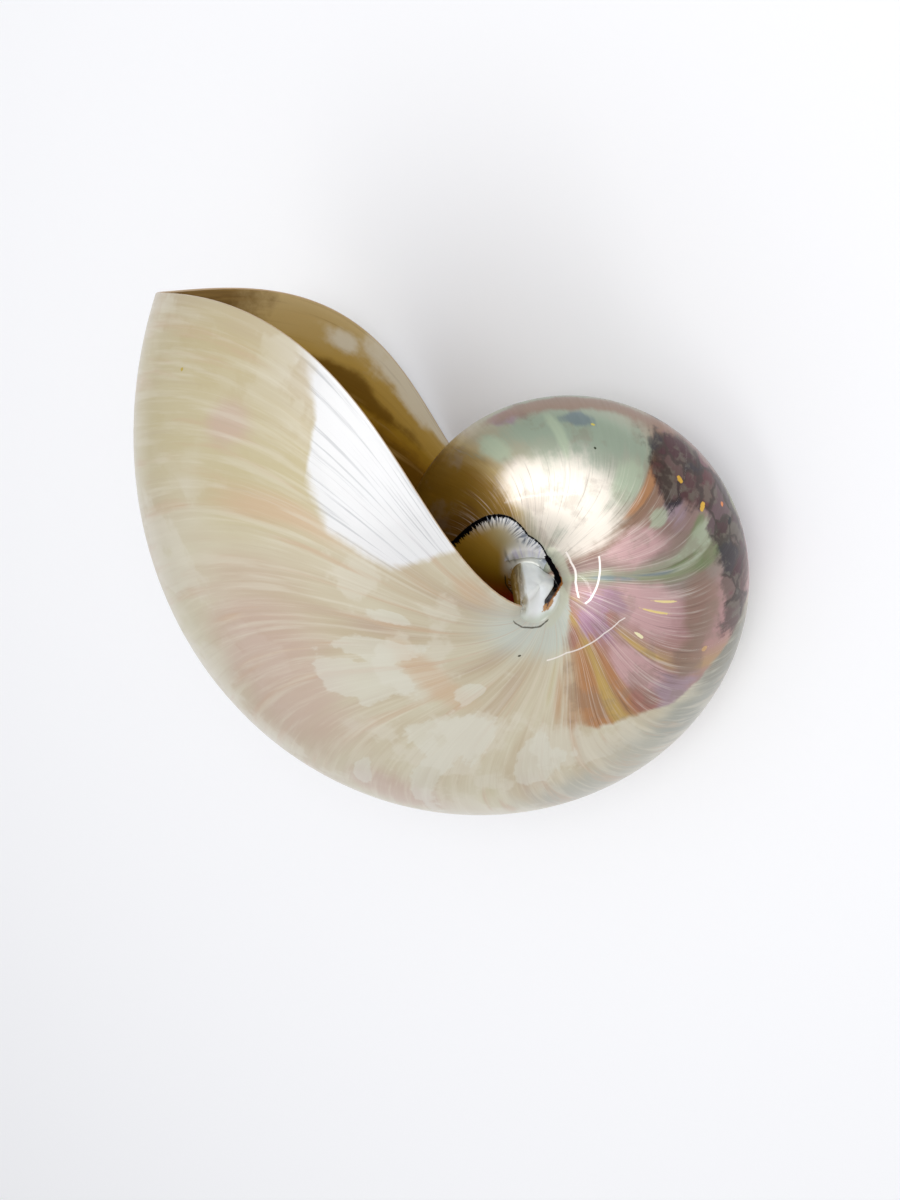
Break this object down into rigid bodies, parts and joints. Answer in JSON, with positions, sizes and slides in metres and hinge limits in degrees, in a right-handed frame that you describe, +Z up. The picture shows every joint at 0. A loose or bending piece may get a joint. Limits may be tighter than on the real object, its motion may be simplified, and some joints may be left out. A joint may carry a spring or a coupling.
{
  "type": "whole nautilus shell",
  "caption": "Whole coiled nautilus shell, ground and polished to its mother-of-pearl, lying on one flank, with an open living chamber and a flared oval mouth.",
  "frame": {"origin": "bottom centre of the bounding box, on the surface that the shell lies on", "axes": "+Z up; +X along the longest side of the bounding box, away from the tip of the mouth; the mouth opens towards +Y"},
  "size_m": [0.1384, 0.109, 0.0874],
  "materials": {
    "pearl": "polished mother-of-pearl, warm cream with pink, green and gold iridescence on the inner whorl"
  },
  "bodies": {
    "root": {"shell": "pearl"}
  },
  "joints": []
}
